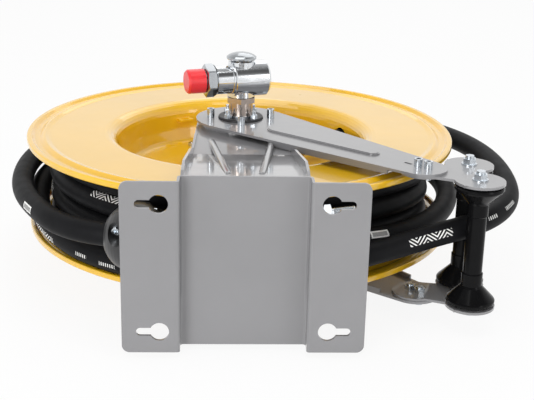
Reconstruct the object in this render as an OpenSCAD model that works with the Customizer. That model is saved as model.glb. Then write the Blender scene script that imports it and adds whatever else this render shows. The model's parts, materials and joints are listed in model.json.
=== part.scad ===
// Spring-rewind hose reel on a folded wall bracket, with two pressed discs,
// a water swivel on the shaft, two guide arms and a pair of guide rollers.
// Millimetres. The origin is the centre of the four wall holes on the wall
// face. +Y runs from the wall to the reel, +Z runs along the reel's shaft.

/* [Wall bracket] */
// Wall face to the reel's shaft
reach = 327; // [310:1:420]
// Width of each keyhole plate
plate_w = 62.5; // [52:0.5:90]
// Height of the keyhole plates and the web
plate_h = 194; // [190:1:240]
// Width of the set-back web
web_w = 137; // [124:1:170]
// How far the web stands off the wall
web_back = 20; // [12:1:22]
// Thickness of the bracket's and the arms' sheet
sheet_t = 3; // [2:0.5:4]
// Corner radius of the keyhole plates
corner_r = 8.5; // [4:0.5:14]
// Spacing of the keyholes' round ends, across
key_x = 181; // [175:1:200]
// Spacing of the keyholes, up and down
key_z = 145; // [120:1:160]
// Diameter of a keyhole's round end
key_d = 20.6; // [14:0.1:22]
// Width of a keyhole's slot
slot_w = 9; // [6:0.5:11]
// Run of the slot from the round end's centre
slot_run = 20.5; // [18:0.5:28]
// How far the side panels lie below the hub pads
panel_drop = 6; // [4:0.5:6]
// Air between a side panel and the drum's rim
panel_clear = 2; // [1.5:0.5:6]
// Radius of the round hub end of the side panels
hub_end_r = 57; // [52:1:64]
// Radius of the raised hub pads
hub_pad_r = 50; // [47:1:52]
// Height of the turned-up lips
lip_h = 12; // [8:1:16]

/* [Drum] */
// Drum's mid-plane from the bracket's mid-plane
drum_off = 5; // [0:0.5:8]
// Outer radius of the discs
disc_r = 275; // [268:1:282]
// Radius of the dish's wall at its mouth
dish_r = 161; // [150:1:164]
// Inner width between the discs
drum_gap = 112; // [112:0.5:135]
// Thickness of the discs' sheet
disc_t = 1.5; // [1:0.1:2]
// Depth of the rolled rim
rim_h = 7.5; // [6:0.5:8]
// Radius of the floor inside each dish
floor_r = 146; // [140:1:148]
// Radius of the spring case
case_r = 125; // [105:1:127]
// Depth of the spring case
case_h = 48; // [40:1:48]
// Teeth on the ratchet wheel
teeth = 12; // [8:4:24]
// Radius over the ratchet's teeth
ratchet_r = 62; // [54:1:66]

/* [Shaft and bearings] */
// Diameter of the shaft
shaft_d = 31; // [28:0.5:38]
// Bore of the shaft
shaft_bore = 17; // [12:0.5:19]
// Radial play of every running fit
run_fit = 0.05; // [0.02:0.01:0.1]
// Height of the bearing flange
bearing_h = 6; // [4:0.5:8]

/* [Guide arms] */
// Shaft to the arm's outer end circle
arm_len = 294; // [285:1:355]
// Direction of the arms, from +X
arm_angle = -46; // [-50:1:-40]
// Radius of the arm's hub end
arm_hub_r = 58; // [50:1:62]
// Radius of the arm's outer end
arm_end_r = 28; // [24:1:32]
// Radius of the four hub bolts
arm_bolt_r = 39; // [38:0.5:41]
// Depth of the arm's turned-down edges
skirt_h = 5; // [3:0.5:5]
// Height of the pressed bead along the arm
bead_h = 2.5; // [1.5:0.1:3]

/* [Rollers] */
// Arm's end centre to the rollers' mid point, along X
roller_dx = 58; // [54:1:75]
// Arm's end centre to the rollers' mid point, along Y
roller_dy = -6.5; // [-12:0.5:2]
// Spacing of the two rollers
roller_gap = 59; // [57:0.5:75]
// Diameter of the rollers' middle sleeves
sleeve_d = 22; // [18:0.5:24]
// Diameter of the rollers' necks
neck_d = 24.5; // [20:0.5:28]
// Diameter of the rollers' flared ends
cone_d = 56; // [40:0.5:56]
// Length of one neck and flared end together
cone_l = 37; // [30:1:45]
// Diameter of the roller pins
pin_d = 10; // [8:0.5:14]

/* [Swivel] */
// Height of the swivel's inlet axis over the drum's mid-plane
swivel_z = 126; // [124:1:150]
// Turn of the inlet towards the wall at rest
inlet_angle = 18; // [0:1:90]
// Diameter of the swivel's body
body_d = 46; // [40:0.5:48]
// Diameter of the swivel's neck
body_neck_d = 37; // [32:0.5:39]
// Diameter of the spindle inside the swivel
spindle_d = 22; // [19:0.5:26]
// Outer diameter of the inlet's thread
thread_d = 26.4; // [20:0.1:28]
// Outer diameter of the inlet's cap
cap_d = 31; // [30:0.5:36]
// Length of the inlet's cap
cap_l = 23; // [22:1:34]

/* [Hose] */
// Outer diameter of the hose
hose_d = 27; // [22:0.5:27]
// Bore of the hose
hose_bore = 19; // [12:0.5:19]
// Pitch of the turns in the outer layer
lay = 27.7; // [27.5:0.1:28]
// Turns side by side in the outer layer
lanes = 4; // [3:1:4]
// Least radius of the free turns round the drum, on the hose's centre line
free_r = 261; // [255:1:262]
// Diameter of the ball stop
ball_d = 80; // [70:1:80]
// Length of the ball stop along the hose
ball_l = 68; // [56:1:72]
// Outer diameter of the crimped ferrule
ferrule_d = 31; // [29:0.5:33]

/* [Hidden] */
$fn = 64;

gap = 0.3;                         // between pieces that move past each other
play = 0.3;                        // a bolt hole's radius over its bolt's
snug = 0.05;                       // a tight hole's radius over its bolt's
m6 = 3;                            // radius of an M6 bolt
m8 = 4;                            // radius of an M8 bolt
sr = shaft_d / 2;
hw = web_w / 2;
top = plate_h / 2;                 // top edge of the web and the plates
rim_up = 2.5;                      // rolled rim over a disc's flat
face_z = drum_gap / 2 + disc_t;    // outer face of a disc's flat
rim_z = face_z + rim_up;           // top of a disc's rolled rim
panel_z = rim_z + drum_off + panel_clear + sheet_t; // outer face of the side panels at the hub
hub_h = panel_z + panel_drop;      // outer face of the hub pads
arm_z = hub_h + sheet_t;           // outer face of the guide arms
stud_r = sr + 7.5;                 // the bearing's four studs
bearing_r = stud_r + 6;            // the bearing's flange
arm_hole_r = bearing_r + 0.5;      // hole in the arm round the bearing
arm_end = [arm_len * cos(arm_angle), arm_len * sin(arm_angle)];
roller_mid = arm_end + [roller_dx, roller_dy];
roller_y = [roller_mid[1] - roller_gap / 2, roller_mid[1] + roller_gap / 2];
cone_end = hub_h - 5;              // outer end of a roller's flare
hex_z0 = swivel_z - 30;            // shaft's hex, under the swivel
body_z0 = swivel_z - body_d / 2;   // underside of the swivel's body
spindle_z1 = swivel_z + body_d / 2 + 0.7;
outlet_z = 25;                     // outlet pipe over the drum's mid-plane
outlet_a = 28;                     // its direction, from +X
layer_r = free_r - hose_d;         // centre line of the outer wound layer
core_r1 = layer_r - hose_d / 2 - 0.5;
core_r0 = dish_r + disc_t + 1.2;
pawl_r = ratchet_r + 24;           // pawl's pivot from the shaft
pawl_a = -90;                      // its direction, from +X

// the unit vector along v, and the vector to the right of v
function unit(v) = v / norm(v);
function rgt(v) = [v[1], -v[0]];
// the right-hand normal of a polyline's leg, and of its corner between two legs
function seg(p, i) = rgt(unit(p[i + 1] - p[i]));
function miter(a, b) = (a + b) / (1 + a * b);
function side(p, i) =
  i == 0 ? seg(p, 0) : i == len(p) - 1 ? seg(p, i - 1) : miter(seg(p, i - 1), seg(p, i));
// a sheet of thickness t to the right of polyline p
function strip(p, t) = concat(p, [for (i = [len(p) - 1:-1:0]) p[i] + side(p, i) * t]);
// the arc of n steps and radius r in the corner b between a and c
function corner(a, b, c, r, n) =
  let (
    u = unit(a - b),
    v = unit(c - b),
    h = acos(u * v) / 2,
    t = r / tan(h),
    o = b + unit(u + v) * r / sin(h),
    s = (rgt(u) * v) > 0 ? 1 : -1,
    d = b + u * t - o,
    a0 = atan2(d[1], d[0]),
    sweep = 180 - 2 * h
  )
  [for (i = [0:n]) o + r * [cos(a0 + s * sweep * i / n), sin(a0 + s * sweep * i / n)]];
// polyline p with each inner corner rounded to its own radius
function rounded(p, radii, n) = concat(
  [p[0]],
  [for (i = [1:len(p) - 2]) each corner(p[i - 1], p[i], p[i + 1], radii[i - 1], n)],
  [p[len(p) - 1]]
);

module at_hub() translate([0, reach, 0]) children();
module at_drum() translate([0, reach, drum_off]) children();
module level(s) mirror([0, 0, s > 0 ? 0 : 1]) children();
module around(n, r, a0 = 0) for (i = [0:n - 1]) rotate(a0 + i * 360 / n) translate([r, 0, 0]) children();
module ring(r0, r1, h) difference() {
  cylinder(r = r1, h = h);
  translate([0, 0, -1]) cylinder(r = r0, h = h + 2);
}
module hexhead(af, h) cylinder(d = af / cos(30), h = h, $fn = 6);
module rod(r, h) cylinder(r = r, h = h, $fn = 32);
module socket_bolt(r, head_d, head_h, grip, nut_af, nut_h) {
  difference() {
    union() {
      cylinder(d = head_d, h = head_h);
      translate([0, 0, -grip - nut_h - 2]) cylinder(r = r, h = grip + nut_h + 2.5);
    }
    translate([0, 0, head_h - 4]) hexhead(head_d / 2, 5);
  }
  translate([0, 0, -grip - nut_h]) hexhead(nut_af, nut_h);
}
// two circles on the X axis and the straight flanks that touch both
module taper_plan(x0, r0, x1, r1) union() {
  lean = asin((r0 - r1) / (x1 - x0));
  flank = [sin(lean), cos(lean)];
  translate([x0, 0]) circle(r = r0);
  translate([x1, 0]) circle(r = r1);
  polygon([
    [x0, 0] + r0 * flank, [x1, 0] + r1 * flank,
    [x1 + r1 * flank[0], -r1 * flank[1]], [x0 + r0 * flank[0], -r0 * flank[1]]
  ]);
}

// ---------------------------------------------------------------- bracket
fold_r = 3.2;                      // bends of the hat-shaped sheet
flat_run = 138;                    // shaft to the bend where a side panel turns level
hat = rounded(
  [[-hw - plate_w, 0], [-hw, 0], [-hw, web_back], [hw, web_back], [hw, 0], [hw + plate_w, 0]],
  [fold_r, fold_r, fold_r, fold_r], 3);
panel = rounded(
  [[web_back, top - 12], [web_back, top], [reach - flat_run, panel_z], [reach + hub_end_r + 5, panel_z]],
  [3.5, 3.5], 3);
// side view of the turned-up lips: a rise over the fold, then along the panel
// and down to a low edge that runs under the guide arm
lip_low = hub_h - 1.5;
lip = [
  [web_back + 1, top - 9], [web_back + 1, top - 1], [web_back + 12, top + 3],
  [web_back + 34, top + lip_h - 5], [reach - 165, panel_z + lip_h + 3], [reach - 126, lip_low],
  [reach - 62, lip_low], [reach - 48, panel_z - 0.5], [reach - 48, panel_z - sheet_t],
  [reach - flat_run + 1, panel_z - sheet_t]
];
module keyhole() union() {
  circle(d = key_d);
  translate([0, -slot_w / 2]) square([slot_run, slot_w]);
  translate([slot_run, 0]) circle(d = slot_w);
}
module plate_outline() union() {
  w = hw + plate_w;
  square([2 * (w - corner_r), plate_h], center = true);
  square([2 * w, plate_h - 2 * corner_r], center = true);
  for (x = [-1, 1]) for (z = [-1, 1])
    translate([x * (w - corner_r), z * (top - corner_r)]) circle(r = corner_r);
}
module panel_plan() union() {
  polygon([[-hw, web_back - 0.5], [hw, web_back - 0.5], [hub_end_r, reach], [-hub_end_r, reach]]);
  translate([0, reach]) circle(r = hub_end_r);
}
module lip_plan() for (s = [-1, 1]) polygon([
  [s * hw, web_back], [s * (hw - sheet_t), web_back],
  [s * (hub_end_r - sheet_t), reach - 20], [s * hub_end_r, reach - 20]
]);
module yz(w) rotate([90, 0, 90]) translate([0, 0, -w / 2]) linear_extrude(w) children();
module upright() translate([0, 0, panel_z - 20]) linear_extrude(90) children();
// pressed rib from the hub pad down to the fold
rib_r = 4.2;
module rib(s) {
  a = [s * 37, reach - 84, panel_z - 0.6];
  b = [s * 18, web_back + 22, top - 5.5];
  d = b - a;
  run = norm([d[0], d[1]]);
  translate(a) rotate([0, 0, atan2(d[1], d[0])]) rotate([0, 90 - atan2(d[2], run), 0]) {
    cylinder(r = rib_r, h = norm(d), $fn = 24);
    sphere(r = rib_r, $fn = 24);
    translate([0, 0, norm(d)]) sphere(r = rib_r, $fn = 24);
  }
}
module ribs() intersection() {
  for (s = [-1, 1]) rib(s);
  yz(2 * hw) polygon([
    [web_back + 8, top + 20], [reach - 60, top + 20], [reach - 60, panel_z - 1],
    [reach - flat_run, panel_z - 1], [web_back + 8, top - 3]
  ]);
}
module side_arm() difference() {
  union() {
    intersection() {
      yz(2 * hw + 20) polygon(strip(panel, sheet_t));
      upright() panel_plan();
    }
    intersection() {
      yz(2 * hw + 20) polygon(lip);
      upright() lip_plan();
    }
    at_hub() translate([0, 0, panel_z - sheet_t]) cylinder(r = hub_pad_r, h = hub_h - panel_z + sheet_t);
    ribs();
  }
  at_hub() translate([0, 0, panel_z - sheet_t - 1])
    cylinder(r = hub_pad_r - sheet_t, h = hub_h - panel_z + 1);
  at_hub() cylinder(r = sr + 3.3, h = hub_h + 5);
  // the lips are cut away where the arm's turned-down edges pass over them
  at_hub() along() translate([0, 0, hub_h - skirt_h - 0.7]) linear_extrude(40) intersection() {
    difference() {
      arm_plan(-1.5);
      arm_plan(5);
    }
    translate([60, -80]) square([arm_len, 160]);
  }
  at_hub() around(4, arm_bolt_r) rod(m6 + play, hub_h + 5);
  at_hub() around(4, stud_r, 45) rod(m6 + play, hub_h + 5);
}
module at_pawl() at_hub() rotate(pawl_a) translate([pawl_r, 0, 0]) children();
module wall_bracket() color("darkgray") difference() {
  union() {
    intersection() {
      translate([0, 0, -top]) linear_extrude(plate_h) polygon(strip(hat, -sheet_t));
      translate([0, web_back + 20, 0]) rotate([90, 0, 0]) linear_extrude(web_back + 40) plate_outline();
    }
    for (s = [-1, 1]) level(s) side_arm();
  }
  for (x = [-1, 1]) for (z = [-1, 1])
    translate([x * key_x / 2, sheet_t + 1, z * key_z / 2]) rotate([90, 0, 0])
      linear_extrude(sheet_t + 2) mirror([x > 0 ? 0 : 1, 0]) keyhole();
  // the pawl's pin, on the lower panel
  at_pawl() translate([0, 0, -hub_h]) rod(m8 + snug, 30);
}

// ------------------------------------------------------------- guide arms
skirt_x0 = 98;                     // where the turned-down edges begin
bead_x0 = 78;                      // the bead's ends along the arm
bead_x1 = arm_len - 74;
module along() rotate(arm_angle) children();
module arm_plan(d) taper_plan(0, arm_hub_r - d, arm_len, arm_end_r - d);
module bead_plan(d) taper_plan(bead_x0, 22 - d, bead_x1, 9 - d);
module end_bolts() for (s = [-1, 1]) translate([arm_len + s * 7, 0, 0]) children();
module guide_arm() at_hub() along() difference() {
  union() {
    translate([0, 0, hub_h]) linear_extrude(sheet_t) arm_plan(0);
    // turned-down edges, clear of the bracket and the yoke
    translate([0, 0, hub_h - skirt_h]) linear_extrude(skirt_h + 1) intersection() {
      difference() {
        arm_plan(0);
        arm_plan(2.5);
      }
      translate([skirt_x0, -80]) square([arm_len - arm_end_r - skirt_x0, 160]);
    }
    translate([0, 0, arm_z - 0.5]) linear_extrude(bead_h * 0.6 + 0.5) bead_plan(0);
    translate([0, 0, arm_z - 0.5]) linear_extrude(bead_h + 0.5) bead_plan(1.8);
  }
  translate([0, 0, hub_h - 1]) cylinder(r = arm_hole_r, h = sheet_t + 5);
  translate([0, 0, hub_h - 1]) rotate(-arm_angle) around(4, arm_bolt_r) rod(m6 + play, sheet_t + 2);
  translate([0, 0, hub_h - 1]) end_bolts() rod(m8 + play, sheet_t + 2);
  // the bead's hollow, from below
  translate([0, 0, hub_h - 1]) linear_extrude(bead_h + 0.8) bead_plan(5);
  // locating slot near the outer end
  translate([arm_len - 26, -2, hub_h - 1]) cube([10, 4, sheet_t + 2]);
}
module guide_arm_top() color("silver") guide_arm();
module guide_arm_bottom() color("silver") level(-1) guide_arm();

module arm_bolts() at_hub() around(4, arm_bolt_r) translate([0, 0, arm_z])
  socket_bolt(m6, 9.6, 12, 2 * sheet_t, 10, 4);
module arm_bolts_top() color("lightgray") arm_bolts();
module arm_bolts_bottom() color("lightgray") level(-1) arm_bolts();

// --------------------------------------------------------------- bearings
module bearing(boss) at_hub() difference() {
  union() {
    translate([0, 0, hub_h]) cylinder(r = bearing_r, h = bearing_h - 1);
    translate([0, 0, hub_h + bearing_h - 1]) cylinder(r1 = bearing_r, r2 = bearing_r - 1, h = 1);
    translate([0, 0, hub_h - boss]) cylinder(r = sr + 3, h = boss + 1);
  }
  translate([0, 0, hub_h - boss - 1]) cylinder(r = sr + run_fit, h = boss + bearing_h + 2);
  translate([0, 0, hub_h - 1]) around(4, stud_r, 45) rod(m6 + play, bearing_h + 2);
}
module bearing_top() color("dimgray") bearing(10);
module bearing_bottom() color("dimgray") level(-1) bearing(6.5);
module bearing_bolts(grip, head_h) at_hub() around(4, stud_r, 45) translate([0, 0, hub_h]) {
  translate([0, 0, -grip]) rod(m6, grip + bearing_h + 10);
  if (head_h > 0) translate([0, 0, -grip - head_h]) rotate(30) hexhead(8.4, head_h);
  translate([0, 0, bearing_h]) rotate(30) hexhead(9.2, 5);
}
module bearing_bolts_top() color("lightgray") bearing_bolts(sheet_t, 3.5);
// the lower studs are screwed into the spring's arbor
module bearing_bolts_bottom() color("lightgray") level(-1) bearing_bolts(sheet_t + 6.5, 0);

// --------------------------------------------------------------- yokes
lobe_r = cone_d / 2 + 0.5;
// the waist between the arm's end and the lobes, with a notch between the lobes
module yoke_waist() {
  e = arm_end;
  m = roller_mid;
  g = roller_gap / 2;
  r = arm_end_r - 1.5;
  polygon([
    e + [-4, 0.6 - r], e + [10, 1 - r], m + [-28, -r - 1.5], m + [-22, 8 - g - lobe_r], m + [0, -g],
    m + [10, -5], m + [6, 0], m + [10, 5],
    m + [0, g], m + [-22, g + lobe_r - 8], m + [-28, r], e + [14, r - 3.5], e + [-4, r - 0.6]
  ]);
}
module yoke() at_hub() difference() {
  translate([0, 0, hub_h - sheet_t]) union() {
    linear_extrude(sheet_t) yoke_waist();
    translate(arm_end) cylinder(r = arm_end_r - 1.5, h = sheet_t);
    for (y = roller_y) translate([roller_mid[0], y]) cylinder(r = lobe_r, h = sheet_t);
  }
  for (y = roller_y) translate([roller_mid[0], y, hub_h - sheet_t - 1])
    cylinder(d = pin_d + 2 * play, h = sheet_t + 2);
  translate([0, 0, hub_h - sheet_t - 1]) along() end_bolts() rod(m8 + play, sheet_t + 2);
}
module yoke_top() color("silver") yoke();
module yoke_bottom() color("silver") level(-1) yoke();
module yoke_bolts() at_hub() along() end_bolts() translate([0, 0, arm_z])
  socket_bolt(m8, 10, 9, 2 * sheet_t, 12, 5);
module yoke_bolts_top() color("lightgray") yoke_bolts();
module yoke_bolts_bottom() color("lightgray") level(-1) yoke_bolts();

// --------------------------------------------------------------- rollers
module roller_at(i) at_hub() translate([roller_mid[0], roller_y[i], 0]) children();
// a pin with a washer, a nut and its own end over each yoke
module roller_pin(i) roller_at(i) {
  translate([0, 0, -hub_h - 11]) cylinder(d = pin_d, h = 2 * hub_h + 22);
  for (s = [-1, 1]) level(s) translate([0, 0, hub_h]) {
    cylinder(d = 18, h = 1.6);
    translate([0, 0, 1.6]) rotate(20) hexhead(14, 6);
    translate([0, 0, 7]) cylinder(d = 11, h = 2);
  }
}
module roller_pin_front() color("lightgray") roller_pin(0);
module roller_pin_rear() color("lightgray") roller_pin(1);
sleeve_end = cone_end - cone_l;
bore_r = pin_d / 2 + run_fit;
cone_r = cone_d / 2;
neck_r = neck_d / 2;
module sleeve(i) roller_at(i) translate([0, 0, -sleeve_end]) ring(bore_r, sleeve_d / 2, 2 * sleeve_end);
// rounded lip, straight flare, then the neck with a small chamfer at the seam
module cone(i) roller_at(i) translate([0, 0, cone_end]) rotate_extrude() polygon([
  [bore_r, 0], [cone_r - 3, 0], [cone_r - 0.8, -0.8], [cone_r, -2.5], [cone_r, -4.5],
  [cone_r - 1, -6], [neck_r + 1.6, -19.5], [neck_r, -22], [neck_r, 1 - cone_l],
  [neck_r - 0.8, -cone_l], [bore_r, -cone_l]
]);
module roller_front_sleeve() color("black") sleeve(0);
module roller_front_cone_top() color("black") cone(0);
module roller_front_cone_bottom() color("black") level(-1) cone(0);
module roller_rear_sleeve() color("black") sleeve(1);
module roller_rear_cone_top() color("black") cone(1);
module roller_rear_cone_bottom() color("black") level(-1) cone(1);

// --------------------------------------------------------------- discs
hub_bolt_r = 45;                   // the six bolts through both discs
case_bolt_r = case_r + 7.5;        // the six bolts of the spring case
// outer face of a disc from the shaft to the end of its rolled rim: floor,
// dish wall, mouth, flat, shoulder, groove and rim
disc_line = rounded([
  [sr + gap, disc_t], [floor_r + 6, disc_t], [dish_r - 3, 22], [dish_r, face_z],
  [disc_r - 29, face_z], [disc_r - 22, face_z + 2.4], [disc_r - 16, face_z - 1.6],
  [disc_r - 10, face_z - 1.6], [disc_r - 6, rim_z], [disc_r, rim_z],
  [disc_r, rim_z - rim_h], [disc_r - 4, rim_z - rim_h]
], [9, 30, 17, 10, 4, 4, 3, 2, 2.2, 1.8], 6);
module disc() difference() {
  rotate_extrude($fn = 160) polygon(strip(disc_line, disc_t));
  translate([0, 0, -1]) around(6, hub_bolt_r) rod(m8 + play, disc_t + 2);
  translate([0, 0, -1]) around(6, case_bolt_r) rod(m6 + play, disc_t + 2);
}
module at_outlet() rotate(outlet_a) translate([0, 0, outlet_z]) rotate([0, 90, 0]) children();
module disc_top() color("gold") at_drum() {
  difference() {
    disc();
    // window for the hose's lead
    at_outlet() translate([0, 0, floor_r]) cylinder(r = hose_d / 2 + 2, h = 40);
  }
  // lug pressed out of the dish's wall
  rotate(120) translate([dish_r - 14, -10, 33]) difference() {
    cube([14.5, 20, 3]);
    translate([4, 4, -1]) cube([5, 12, 5]);
  }
}
module disc_bottom() color("gold") at_drum() level(-1) disc();

// --------------------------------------------------------------- shaft
flange_h = 5;                      // the shaft's flange on the upper disc
module shaft_solids() {
  low_end = hub_h + drum_off + 13;
  translate([0, 0, -low_end]) cylinder(r = sr, h = low_end + hex_z0);
  translate([0, 0, disc_t]) cylinder(r = hub_bolt_r + 13, h = flange_h);
  translate([0, 0, disc_t + flange_h]) cylinder(r1 = sr + 5.5, r2 = sr, h = 5.5);
  translate([0, 0, hex_z0]) rotate(30) hexhead(35, body_z0 - hex_z0 - gap);
  translate([0, 0, hex_z0]) cylinder(d = spindle_d, h = spindle_z1 - hex_z0);
  translate([0, 0, hex_z0 - 1.2]) cylinder(r = sr + 0.9, h = 1.2);
}
seal_z = [swivel_z - 15, swivel_z + 15];
module drum_shaft() color("tan") at_drum() difference() {
  shaft_solids();
  translate([0, 0, 14]) cylinder(d = shaft_bore, h = hex_z0 - 14);
  translate([0, 0, hex_z0 - 1]) cylinder(d = 12, h = spindle_z1 - hex_z0 - 5);
  at_outlet() cylinder(r = 8, h = 30);
  translate([0, 0, swivel_z]) around(4, 0) rotate([0, 90, 0]) rod(4.5, 20);
  for (z = seal_z) translate([0, 0, z - 1.6]) ring(spindle_d / 2 - 2.6, spindle_d / 2 + 1, 3.2);
  translate([0, 0, disc_t - 1]) around(6, hub_bolt_r) rod(m8 + play, flange_h + 2);
}
ring_h = 8;
module hub_ring() color("silver") at_drum() translate([0, 0, -disc_t - ring_h]) difference() {
  ring(sr + gap, hub_bolt_r + 11, ring_h);
  translate([0, 0, -1]) around(6, hub_bolt_r) rod(m8 + snug, ring_h + 2);
}
module hub_bolts() color("lightgray") at_drum() around(6, hub_bolt_r) {
  translate([0, 0, disc_t + flange_h]) hexhead(13, 5.5);
  translate([0, 0, 1 - disc_t - ring_h]) rod(m8, 2 * disc_t + flange_h + ring_h);
}
module shaft_washers() color("lightgray") at_hub() for (s = [-1, 1])
  level(s) translate([0, 0, hub_h + bearing_h + gap]) ring(sr, sr + 2.1, 2);

// --------------------------------------------------------------- spring
case_t = 1.8;
arbor_r = sr + 7;
case_hole_r = sr + 11;
wheel_bolt_r = ratchet_r - 16;
module spring_case() color("gray") at_drum() translate([0, 0, -disc_t]) mirror([0, 0, 1]) difference() {
  union() {
    cylinder(r = case_r + 14, h = case_t);
    cylinder(r = case_r, h = case_h - 2);
    translate([0, 0, case_h - 2]) cylinder(r1 = case_r, r2 = case_r - 2, h = 2);
  }
  translate([0, 0, -1]) cylinder(r = case_r - case_t, h = case_h - 1);
  translate([0, 0, -1]) cylinder(r = case_hole_r, h = case_h + 2);
  translate([0, 0, -1]) around(6, case_bolt_r) rod(m6 + play, case_t + 2);
  translate([0, 0, case_h - 5]) around(6, wheel_bolt_r) rod(m6 + play, 8);
}
module case_bolts() color("lightgray") at_drum() around(6, case_bolt_r) {
  translate([0, 0, -disc_t - case_t - 4]) hexhead(10, 4);
  translate([0, 0, -disc_t - 2]) rod(m6, 2 * disc_t + 8);
  translate([0, 0, disc_t]) hexhead(10, 4.5);
}
// the flat spring, as a spiral strip with its ends at the arbor and the case
spring_turns = 7;
spring_t = 2.4;
spring_steps = 20;                 // to a turn
spring_r0 = arbor_r + gap + spring_t / 2;
spring_r1 = case_r - case_t - gap - spring_t / 2;
function spiral(i, off) =
  let (part = i / (spring_turns * spring_steps), a = i * 360 / spring_steps)
  (spring_r0 + (spring_r1 - spring_r0) * part + off) * [cos(a), sin(a)];
module power_spring() color("darkslategray") at_drum()
  translate([0, 0, 4 - disc_t - case_h]) linear_extrude(case_h - 16) polygon(concat(
    [for (i = [0:spring_turns * spring_steps]) spiral(i, -spring_t / 2)],
    [for (i = [spring_turns * spring_steps:-1:0]) spiral(i, spring_t / 2)]
  ));
module spring_arbor() color("silver") at_hub() translate([0, 0, sheet_t - hub_h]) difference() {
  union() {
    cylinder(r = stud_r + 7, h = 8);
    cylinder(r = arbor_r, h = hub_h - sheet_t + drum_off - disc_t - 12);
  }
  translate([0, 0, -1]) cylinder(r = sr + 0.8, h = 100);
  translate([0, 0, -1]) cylinder(r = sr + 3.3, h = 4.8);
  translate([0, 0, -1]) around(4, stud_r, 45) rod(m6 + snug, 8);
  // slot that takes the spring's inner end
  translate([sr + 3, -1.6, 30]) cube([10, 3.2, 60]);
}

// --------------------------------------------------------------- ratchet
ratchet_t = 6;
tooth_h = 7;
// one saw tooth: its tip, the root under the tip, and the root before the next
function polar(r, a) = r * [cos(a), sin(a)];
function tooth(i) = let (a = 360 / teeth) [
  polar(ratchet_r, a * i), polar(ratchet_r - tooth_h, a * i + 2), polar(ratchet_r - tooth_h, a * (i + 0.4))
];
module at_wheel() at_drum() translate([0, 0, -disc_t - case_h - ratchet_t]) children();
module ratchet_wheel() color("silver") at_wheel() difference() {
  union() {
    linear_extrude(ratchet_t) polygon([for (i = [0:teeth - 1]) each tooth(i)]);
    translate([0, 0, -3.5]) around(6, wheel_bolt_r) hexhead(9, 4);
    translate([0, 0, 4]) around(6, wheel_bolt_r) rod(m6, ratchet_t);
  }
  translate([0, 0, -1]) cylinder(r = case_hole_r, h = ratchet_t + 2);
}
pawl_t = 4;
pawl_z = drum_off - disc_t - case_h - pawl_t - 1.8;
coil_room = 6.5;                   // between the pawl and the sleeve on its pin
module pawl_pin() color("lightgray") at_pawl() {
  translate([0, 0, -panel_z - 5]) rod(m8, panel_z + 5 + pawl_z + pawl_t + 1);
  translate([0, 0, -panel_z - 5]) hexhead(12, 5);
  translate([0, 0, pawl_z + pawl_t + gap]) cylinder(r = 6, h = 1.1);
  translate([0, 0, sheet_t - panel_z]) cylinder(r = 6.5, h = panel_z - sheet_t + pawl_z - coil_room);
}
module latch_pawl() color("gray") at_pawl() translate([0, 0, pawl_z]) difference() {
  union() {
    cylinder(r = 9, h = pawl_t);
    linear_extrude(pawl_t) polygon([[-2, -9], [9, -2], [0, 28], [-15, 36], [-19.5, 34.5], [-9, 24], [-8, 6]]);
    translate([-3, 20, -5]) rod(3, 6);
  }
  translate([0, 0, -1]) cylinder(r = m8 + run_fit, h = pawl_t + 2);
}
// torsion spring round the pawl's pin, with two straight legs
coil_turns = 4;
coil_r = 5.2;
wire_r = 0.5;
coil_steps = 8;                    // to a turn
function coil_p(i) = let (a = i * 360 / coil_steps)
  [coil_r * cos(a), coil_r * sin(a), wire_r + 0.5 + 1.15 * i / coil_steps];
coil_end = coil_turns * coil_steps;
coil = concat([coil_p(0) - [0, 9, 0]], [for (i = [0:coil_end]) coil_p(i)], [coil_p(coil_end) + [0, 9, 0]]);
module pawl_spring() color("dimgray") at_pawl() translate([0, 0, pawl_z - coil_room]) tube(coil, wire_r, 6);

// --------------------------------------------------------------- outlet
elbow_end = 70;                    // where the outlet pipe meets its nut
outlet_nut = 16;
lead_start = elbow_end + 8.5;
module drum_outlet() color("lightgray") at_drum() at_outlet() difference() {
  union() {
    translate([0, 0, sr - 0.2]) cylinder(r = 12, h = elbow_end - sr);
    translate([0, 0, elbow_end - 12]) hexhead(30, outlet_nut);
    translate([0, 0, elbow_end + 4]) cylinder(r = hose_bore / 2 - 0.2, h = 44);
  }
  cylinder(r = 7.5, h = 130);
  rotate([0, -90, 0]) translate([0, 0, -60]) cylinder(r = sr, h = 120);
}
// a crimped sleeve: plain tube with raised bands
module crimp(l, bands) {
  cylinder(d = ferrule_d, h = l);
  for (z = bands) translate([0, 0, z]) cylinder(d = ferrule_d + 1, h = 4.5);
}
module outlet_ferrule() color("silver") at_drum() at_outlet() translate([0, 0, elbow_end + 6]) difference() {
  crimp(34, [5, 14, 23]);
  translate([0, 0, -1]) cylinder(r = hose_bore / 2, h = 4);
  translate([0, 0, 2]) cylinder(d = hose_d + 0.1, h = 40);
}
module hose_lead() color("black") at_drum() at_outlet() translate([0, 0, lead_start]) difference() {
  cylinder(d = hose_d, h = core_r0 - lead_start - 1.8);
  translate([0, 0, -1]) cylinder(r = hose_bore / 2, h = 140);
}

// --------------------------------------------------------------- winding
side_air = 1.2;                    // between the wound hose and a disc
core_z = drum_gap / 2 - side_air;
module hose_core() color("black") at_drum() rotate_extrude($fn = 120) polygon([
  [core_r0, 22 - face_z], [core_r0 + 5, 9 - face_z], [core_r0 + 16, -core_z], [core_r1, -core_z],
  [core_r1, core_z], [core_r0 + 16, core_z], [core_r0 + 5, face_z - 9], [core_r0, face_z - 22]
]);
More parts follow.
